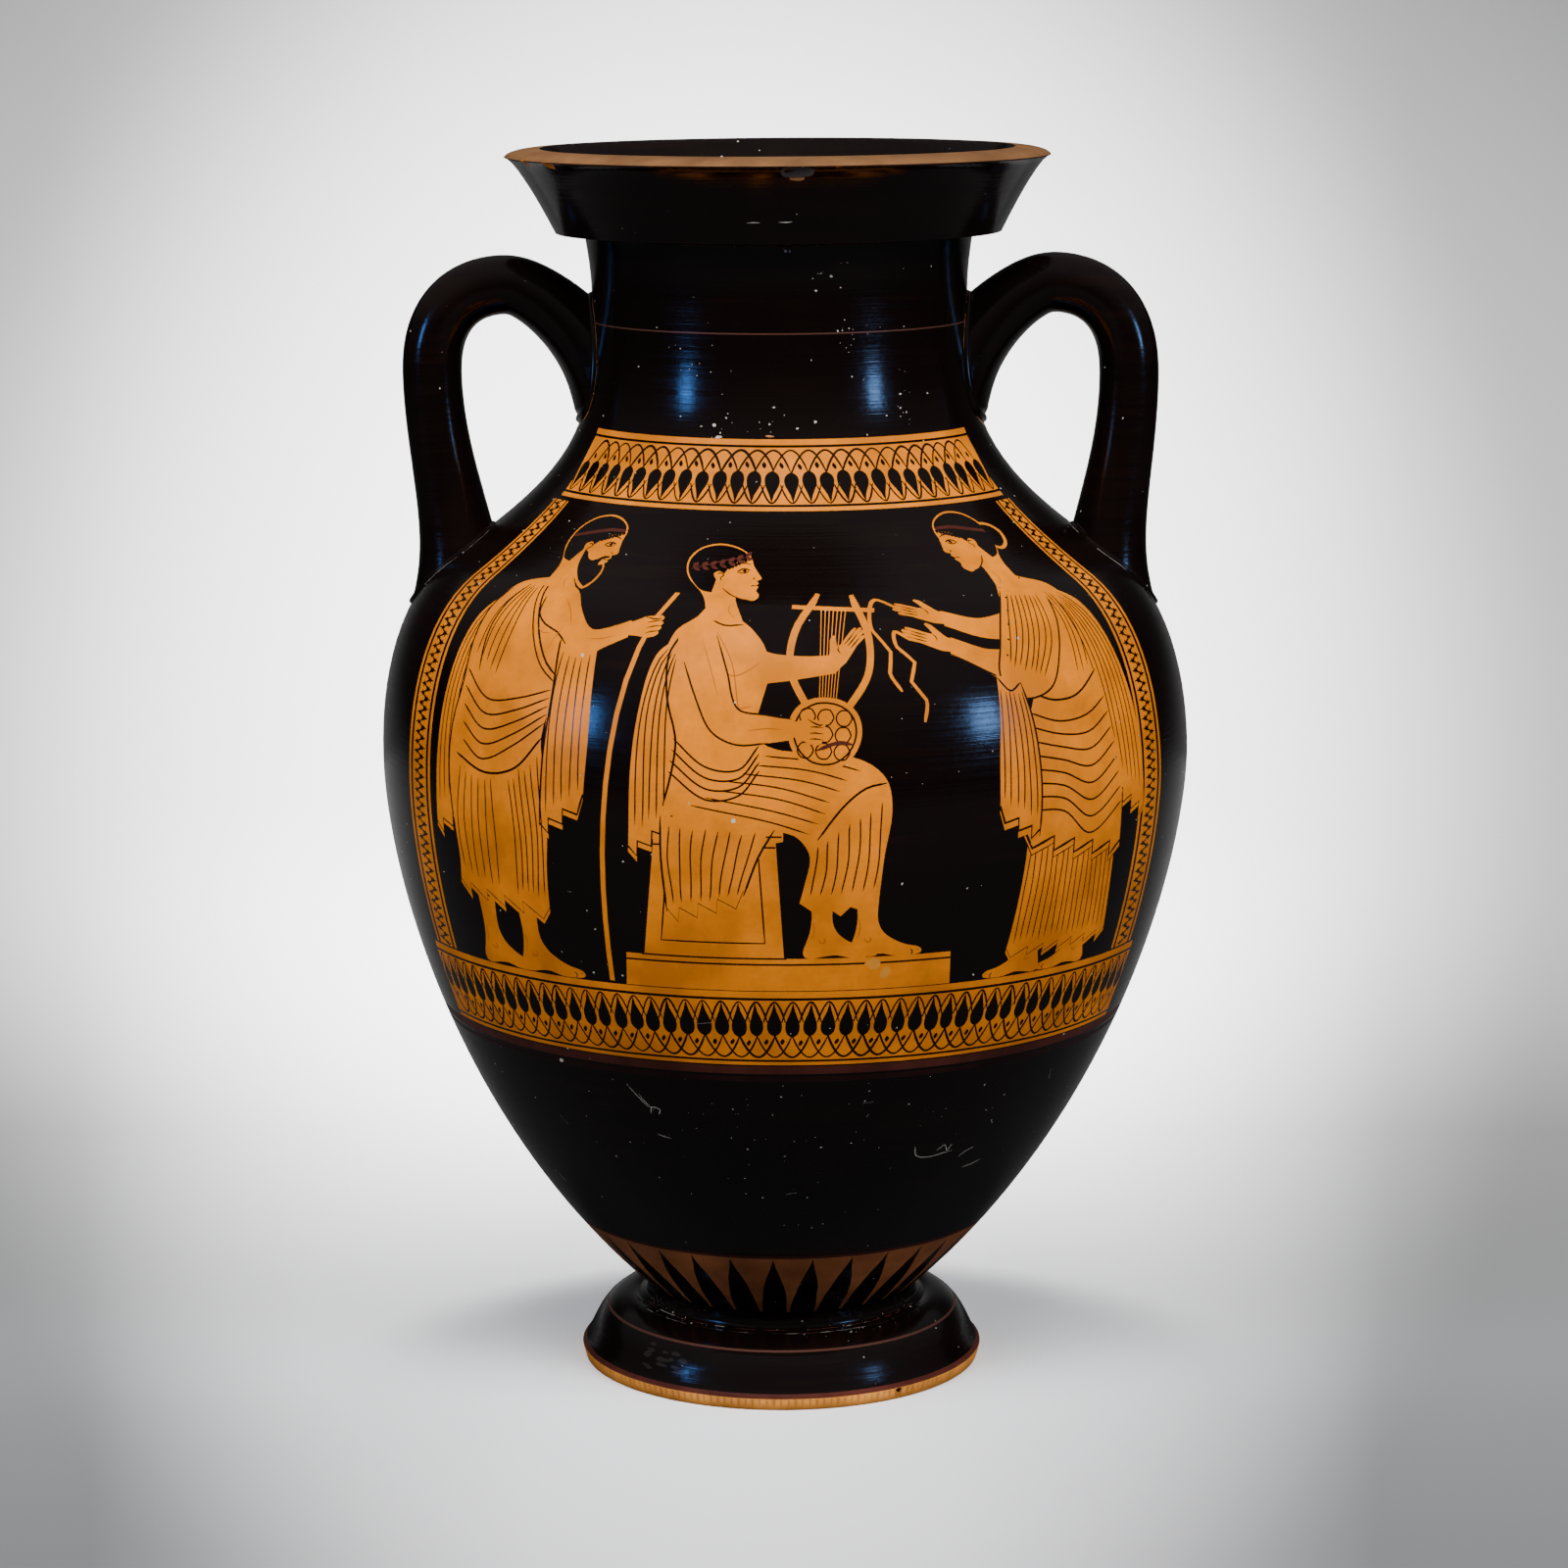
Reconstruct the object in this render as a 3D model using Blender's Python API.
"""Red-figure amphora with two round handles, thrown and joined in clay and fired as one piece.

Metres, +Z up. The origin is on the vessel's axis, on the surface that its foot stands on.
The two handles stand at the left and right, on the X axis, and the main picture faces -Y.
"""

import math

import bmesh
import bpy
from mathutils import Matrix, Vector

# Foot: a low turned cushion on a flat standing ring, hollowed below
FOOT_RADIUS = 0.1001
FOOT_HEIGHT = 0.0311
FOOT_EDGE_HEIGHT = 0.0058
FOOT_BASE_INSET = 0.0016
STANDING_RING_WIDTH = 0.0130
HOLLOW_DEPTH = 0.0190

# The fillet where the body stands on the foot, and the flat crown and groove around it
FILLET_RADIUS = 0.0665
FILLET_HEIGHT = 0.0069
FILLET_FLARE = 0.0015
FILLET_FLARE_RISE = 0.0009
GROOVE_REACH = 0.0050
GROOVE_DEPTH = 0.0007
CROWN_WIDTH = 0.0020

# Body, stacked on the foot: the rise to the widest place, and the rise to the neck
BODY_RADIUS = 0.1969
BELLY_RISE = 0.2720
SHOULDER_RISE = 0.2206
NECK_RADIUS = 0.0906

# Neck above its narrowest place, and the flaring lip with its sloping rim
NECK_TOP_RISE = 0.0250
NECK_TOP_FLARE = 0.0027
LIP_STEP = 0.0141
LIP_STEP_RISE = 0.0015
LIP_HEIGHT = 0.0398
LIP_FLARE = 0.0238
RIM_WIDTH = 0.0168
RIM_DROP = 0.0046

WALL = 0.0070
FLOOR_THICKNESS = 0.0120

# Handles: round in section, from the neck over a crown and down to the shoulder.
# The crown and the outer side are measured out from the neck and up or down from its narrowest place.
HANDLE_THICKNESS = 0.0288
HANDLE_CROWN_REACH = 0.0407
HANDLE_CROWN_RISE = 0.0047
HANDLE_SIDE_REACH = 0.0784
HANDLE_SIDE_DROP = 0.0378
NECK_ROOT_SINK = 0.0106
NECK_ROOT_DROP = 0.0492
NECK_ROOT_THICKNESS = 0.0428
NECK_ROOT_DEPTH = 0.0560
NECK_ROOT_LEAN = math.radians(15.4)
SHOULDER_ROOT_INSET = 0.0393
SHOULDER_ROOT_DROP = 0.1507
SHOULDER_ROOT_THICKNESS = 0.0476
SHOULDER_ROOT_LEAN = math.radians(-6.5)

GLOSS_COLOR = (0.012, 0.009, 0.008, 1.0)
GLOSS_ROUGHNESS = 0.2

# Radii and levels worked out from the sizes above
FOOT_BASE_RADIUS = FOOT_RADIUS - FOOT_BASE_INSET
GROOVE_RADIUS = FILLET_RADIUS + GROOVE_REACH
CROWN_RADIUS = GROOVE_RADIUS + CROWN_WIDTH
NECK_TOP_RADIUS = NECK_RADIUS + NECK_TOP_FLARE
LIP_FOOT_RADIUS = NECK_TOP_RADIUS + LIP_STEP
RIM_RADIUS = LIP_FOOT_RADIUS + LIP_FLARE
MOUTH_RADIUS = RIM_RADIUS - RIM_WIDTH
BODY_START = FOOT_HEIGHT + FILLET_HEIGHT
WIDEST_LEVEL = BODY_START + BELLY_RISE
NECK_LEVEL = WIDEST_LEVEL + SHOULDER_RISE
LIP_LEVEL = NECK_LEVEL + NECK_TOP_RISE
RIM_LEVEL = LIP_LEVEL + LIP_HEIGHT
HEIGHT = RIM_LEVEL + RIM_DROP

# The body's curve keeps these proportions of its rises: the slope where it leaves the foot,
# the place and slope where the shoulder turns hollow, and the reach of each curve's ends
BELLY_START_SLOPE = math.radians(48.2)
BELLY_START_REACH = 0.478
BELLY_END_REACH = 0.211
TURN_HEIGHT_SHARE = 0.422
TURN_RADIUS_SHARE = 0.666
TURN_SLOPE = math.radians(55.3)
SHOULDER_START_REACH = 0.107
TURN_LOWER_REACH = 0.170
TURN_UPPER_REACH = 0.366
NECK_REACH = 0.276

# Reaches of the smaller curves' ends, as shares of each curve's own width and height
FOOT_EDGE_REACH = (0.215, 0.107)
FOOT_CROWN_REACH = 0.752
NECK_TOP_START_REACH = 0.45
NECK_TOP_END_REACH = (0.4, 0.3)
LIP_END_REACH = 0.253
UNDERSIDE_MIDDLE_REACH = 0.55
UNDERSIDE_RING_REACH = (0.12, 0.75)
THROAT_REACH = 0.6
MOUTH_REACH = (0.45, 0.6)
FLOOR_REACH = 0.6
FLOOR_CORNER_REACH = 0.3

# Reaches along the handle's three curves, as shares of its steps out from the neck root to the
# crown, out and down from the crown to the side, and down from the side to the shoulder root
ROOT_TO_CROWN_REACH = 0.633
CROWN_FROM_ROOT_REACH = 0.222
CROWN_TO_SIDE_REACH = 0.666
SIDE_FROM_CROWN_REACH = 0.593
SIDE_TO_ROOT_REACH = 0.387
ROOT_FROM_SIDE_REACH = 0.306

# How soon the handle thins away from the neck, and how late it thickens towards the shoulder
THINNING_POWER = 0.6
THICKENING_POWER = 2.2

# Facets round the turned body and the handles, and steps along each curve
TURNED_FACETS = 56
HANDLE_FACETS = 12
HANDLE_STEPS = 8
UNDERSIDE_STEPS = 4
FOOT_STEPS = 6
OUTER_BODY_STEPS = (13, 6, 7)
INNER_BODY_STEPS = (9, 4, 4)
NECK_TOP_STEPS = 2
LIP_STEPS = 4
FLOOR_STEPS = 3
THROAT_STEPS = 5
SHARP_ANGLE = math.radians(35.0)
MERGE_DISTANCE = 0.00002


def clear_scene():
    for thing in list(bpy.data.objects):
        bpy.data.objects.remove(thing, do_unlink=True)


def at(radius, height):
    return Vector((radius, 0.0, height))


def lean(angle):
    """Unit step outwards and up, at an angle from upright."""
    return at(math.sin(angle), math.cos(angle))


def bezier(start, start_handle, end_handle, end, steps):
    """Points of a cubic curve after its start, up to and including its end."""
    points = []
    for step in range(1, steps + 1):
        t = step / steps
        s = 1.0 - t
        near = s**3 * start + 3 * s * s * t * start_handle
        far = 3 * s * t * t * end_handle + t**3 * end
        points.append(near + far)
    return points


def underside_curve():
    """The hollow under the foot, from the axis out and down to the flat standing ring."""
    middle = at(0.0, HOLLOW_DEPTH)
    ring = at(FOOT_BASE_RADIUS - STANDING_RING_WIDTH, 0.0)
    inward_share, rise_share = UNDERSIDE_RING_REACH
    return [middle] + bezier(
        middle,
        middle + at(UNDERSIDE_MIDDLE_REACH * ring.x, 0.0),
        ring + at(-inward_share * ring.x, rise_share * HOLLOW_DEPTH),
        ring,
        UNDERSIDE_STEPS,
    )


def foot_curve():
    """The foot's outer outline, from the base up over its crown to the groove and the fillet."""
    edge = at(FOOT_RADIUS, FOOT_EDGE_HEIGHT)
    crown = at(CROWN_RADIUS, FOOT_HEIGHT)
    overhang = FOOT_RADIUS - CROWN_RADIUS
    inward_share, rise_share = FOOT_EDGE_REACH
    cushion = bezier(
        edge,
        edge + at(-inward_share * overhang, rise_share * (FOOT_HEIGHT - FOOT_EDGE_HEIGHT)),
        crown + at(FOOT_CROWN_REACH * overhang, 0.0),
        crown,
        FOOT_STEPS,
    )
    groove = at(GROOVE_RADIUS, FOOT_HEIGHT - GROOVE_DEPTH)
    flare = at(FILLET_RADIUS + FILLET_FLARE, FOOT_HEIGHT + FILLET_FLARE_RISE)
    return [at(FOOT_BASE_RADIUS, 0.0), edge] + cushion + [groove, flare]


def body_curve(steps):
    """The body's outer outline from the fillet above the foot up to the neck's narrowest place."""
    belly_steps, shoulder_steps, neck_steps = steps
    start = at(FILLET_RADIUS, BODY_START)
    widest = at(BODY_RADIUS, WIDEST_LEVEL)
    turn = at(
        NECK_RADIUS + TURN_RADIUS_SHARE * (BODY_RADIUS - NECK_RADIUS),
        WIDEST_LEVEL + TURN_HEIGHT_SHARE * SHOULDER_RISE,
    )
    neck = at(NECK_RADIUS, NECK_LEVEL)
    belly = bezier(
        start,
        start + BELLY_START_REACH * BELLY_RISE * lean(BELLY_START_SLOPE),
        widest - at(0.0, BELLY_END_REACH * BELLY_RISE),
        widest,
        belly_steps,
    )
    shoulder = bezier(
        widest,
        widest + at(0.0, SHOULDER_START_REACH * SHOULDER_RISE),
        turn - TURN_LOWER_REACH * SHOULDER_RISE * lean(-TURN_SLOPE),
        turn,
        shoulder_steps,
    )
    hollow = bezier(
        turn,
        turn + TURN_UPPER_REACH * SHOULDER_RISE * lean(-TURN_SLOPE),
        neck - at(0.0, NECK_REACH * SHOULDER_RISE),
        neck,
        neck_steps,
    )
    return [start] + belly + shoulder + hollow


def lip_curve():
    """The outer outline from the neck's narrowest place, under the lip and up to the rim's edge."""
    neck = at(NECK_RADIUS, NECK_LEVEL)
    neck_top = at(NECK_TOP_RADIUS, LIP_LEVEL)
    lip_foot = at(LIP_FOOT_RADIUS, LIP_LEVEL + LIP_STEP_RISE)
    edge = at(RIM_RADIUS, RIM_LEVEL)
    inward_share, drop_share = NECK_TOP_END_REACH
    swell = bezier(
        neck,
        neck + at(0.0, NECK_TOP_START_REACH * NECK_TOP_RISE),
        neck_top - at(inward_share * NECK_TOP_FLARE, drop_share * NECK_TOP_RISE),
        neck_top,
        NECK_TOP_STEPS,
    )
    flare = bezier(lip_foot, lip_foot, edge - at(LIP_END_REACH * LIP_FLARE, 0.0), edge, LIP_STEPS)
    return swell + [lip_foot] + flare


def rim_slope_level(radius):
    """Height of the rim's sloping top, carried on inwards or outwards to a radius."""
    return RIM_LEVEL + RIM_DROP * (RIM_RADIUS - radius) / RIM_WIDTH


def solid_outline():
    """The filled vessel, top to bottom. Its top carries the rim's slope on to the axis."""
    peak = at(0.0, rim_slope_level(0.0))
    rising = underside_curve() + foot_curve() + body_curve(OUTER_BODY_STEPS) + lip_curve()
    return [peak] + rising[::-1]


def inward(points, distance):
    """The same outline moved towards the axis along its normals."""
    moved = []
    for index, point in enumerate(points):
        before = points[max(index - 1, 0)]
        after = points[min(index + 1, len(points) - 1)]
        along = (after - before).normalized()
        moved.append(point + distance * at(-along.z, along.x))
    return moved


def hollow_outline():
    """The space inside, top to bottom: the mouth's funnel, the neck, the body and the floor."""
    floor_level = BODY_START + FLOOR_THICKNESS
    wall = inward(body_curve(INNER_BODY_STEPS), WALL)
    wall = [point for point in wall if point.z > floor_level + 0.5 * WALL]
    floor = at(0.0, floor_level)
    corner = bezier(
        floor,
        at(FLOOR_REACH * wall[0].x, floor_level),
        wall[0] - FLOOR_CORNER_REACH * (wall[1] - wall[0]),
        wall[0],
        FLOOR_STEPS,
    )
    throat = wall[-1]
    mouth = at(MOUTH_RADIUS, HEIGHT)
    inward_share, drop_share = MOUTH_REACH
    funnel = bezier(
        throat,
        throat + at(0.0, THROAT_REACH * NECK_TOP_RISE),
        mouth - at(inward_share * (MOUTH_RADIUS - throat.x), drop_share * LIP_HEIGHT),
        mouth,
        THROAT_STEPS,
    )
    # The cut goes on past the mouth, above everything that the filled vessel has there
    clear_top = rim_slope_level(0.0) + RIM_DROP
    opening = [at(MOUTH_RADIUS, clear_top), at(0.0, clear_top)]
    rising = [floor] + corner + wall[1:] + funnel + opening
    return rising[::-1]


def turned(name, outline):
    """An object turned from an outline that runs down its outer side."""
    mesh = bpy.data.meshes.new(name)
    edges = [(index, index + 1) for index in range(len(outline) - 1)]
    mesh.from_pydata([tuple(point) for point in outline], edges, [])
    piece = bpy.data.objects.new(name, mesh)
    bpy.context.scene.collection.objects.link(piece)
    screw = piece.modifiers.new("Turn", "SCREW")
    screw.steps = TURNED_FACETS
    screw.render_steps = TURNED_FACETS
    screw.use_merge_vertices = True
    screw.merge_threshold = MERGE_DISTANCE
    screw.use_normal_calculate = False
    return piece


def thicken(curve, start_size, end_size, power):
    """Each point of one of the handle's curves with its half thickness and half depth there."""
    sections = []
    for step, point in enumerate(curve, start=1):
        share = (step / HANDLE_STEPS) ** power
        thickness, depth = (
            0.5 * (start + share * (end - start)) for start, end in zip(start_size, end_size)
        )
        sections.append((point, thickness, depth))
    return sections


def handle_sections():
    """The right handle's centre points, from the neck to the shoulder, with their half sizes."""
    neck_root = at(NECK_RADIUS - NECK_ROOT_SINK, NECK_LEVEL - NECK_ROOT_DROP)
    crown = at(NECK_RADIUS + HANDLE_CROWN_REACH, NECK_LEVEL + HANDLE_CROWN_RISE)
    side = at(NECK_RADIUS + HANDLE_SIDE_REACH, NECK_LEVEL - HANDLE_SIDE_DROP)
    shoulder_root = at(BODY_RADIUS - SHOULDER_ROOT_INSET, NECK_LEVEL - SHOULDER_ROOT_DROP)
    out = crown.x - neck_root.x
    drop = side.z - shoulder_root.z
    rising = bezier(
        neck_root,
        neck_root + ROOT_TO_CROWN_REACH * out * lean(NECK_ROOT_LEAN),
        crown - at(CROWN_FROM_ROOT_REACH * out, 0.0),
        crown,
        HANDLE_STEPS,
    )
    turning = bezier(
        crown,
        crown + at(CROWN_TO_SIDE_REACH * (side.x - crown.x), 0.0),
        side + at(0.0, SIDE_FROM_CROWN_REACH * (crown.z - side.z)),
        side,
        HANDLE_STEPS,
    )
    falling = bezier(
        side,
        side - at(0.0, SIDE_TO_ROOT_REACH * drop),
        shoulder_root + ROOT_FROM_SIDE_REACH * drop * lean(SHOULDER_ROOT_LEAN),
        shoulder_root,
        HANDLE_STEPS,
    )
    neck_size = (NECK_ROOT_THICKNESS, NECK_ROOT_DEPTH)
    bar_size = (HANDLE_THICKNESS, HANDLE_THICKNESS)
    shoulder_size = (SHOULDER_ROOT_THICKNESS, SHOULDER_ROOT_THICKNESS)
    sections = [(neck_root, 0.5 * NECK_ROOT_THICKNESS, 0.5 * NECK_ROOT_DEPTH)]
    sections += thicken(rising, neck_size, bar_size, THINNING_POWER)
    sections += thicken(turning, bar_size, bar_size, THINNING_POWER)
    sections += thicken(falling, bar_size, shoulder_size, THICKENING_POWER)
    return sections


def handle(name, facing):
    """One handle as a closed tube along its line. Facing is 1 for the right and -1 for the left."""
    sections = handle_sections()
    shape = bmesh.new()
    rings = []
    for index, (centre, half_thickness, half_depth) in enumerate(sections):
        before = sections[max(index - 1, 0)][0]
        after = sections[min(index + 1, len(sections) - 1)][0]
        along = (after - before).normalized()
        frame = Matrix.Identity(4)
        frame.col[0][:3] = half_thickness * at(-along.z, along.x)
        frame.col[1][:3] = (0.0, half_depth, 0.0)
        frame.col[2][:3] = along
        frame.col[3][:3] = centre
        made = bmesh.ops.create_circle(shape, segments=HANDLE_FACETS, radius=1.0, matrix=frame)
        rings.append(made["verts"])
    for near, far in zip(rings, rings[1:]):
        edges = [edge for edge in shape.edges if edge.verts[0] in near and edge.verts[1] in near]
        edges += [edge for edge in shape.edges if edge.verts[0] in far and edge.verts[1] in far]
        bmesh.ops.bridge_loops(shape, edges=edges)
    shape.faces.new(rings[0])
    shape.faces.new(rings[-1])
    bmesh.ops.scale(shape, vec=(facing, 1.0, 1.0), verts=shape.verts)
    bmesh.ops.recalc_face_normals(shape, faces=shape.faces)
    mesh = bpy.data.meshes.new(name)
    shape.to_mesh(mesh)
    shape.free()
    piece = bpy.data.objects.new(name, mesh)
    bpy.context.scene.collection.objects.link(piece)
    return piece


def combine(piece, other, operation):
    """Joins the other piece to this one, or cuts it out, and keeps it as a hidden guide."""
    change = piece.modifiers.new(other.name, "BOOLEAN")
    change.object = other
    change.operation = operation
    change.solver = "EXACT"
    other.hide_render = True
    other.display_type = "WIRE"


def gloss_material():
    material = bpy.data.materials.new("black_gloss")
    material.use_nodes = True
    shader = material.node_tree.nodes["Principled BSDF"]
    shader.inputs["Base Color"].default_value = GLOSS_COLOR
    shader.inputs["Roughness"].default_value = GLOSS_ROUGHNESS
    shader.inputs["Metallic"].default_value = 0.0
    return material


def amphora():
    vessel = turned("amphora", solid_outline())
    combine(vessel, handle("right_handle", 1), "UNION")
    combine(vessel, handle("left_handle", -1), "UNION")
    combine(vessel, turned("hollow", hollow_outline()), "DIFFERENCE")
    bpy.context.view_layer.update()
    evaluated = vessel.evaluated_get(bpy.context.evaluated_depsgraph_get())
    finished = bpy.data.meshes.new_from_object(evaluated)
    vessel.modifiers.clear()
    vessel.data = finished
    finished.shade_smooth()
    finished.set_sharp_from_angle(angle=SHARP_ANGLE)
    finished.materials.clear()
    finished.materials.append(gloss_material())


clear_scene()
amphora()
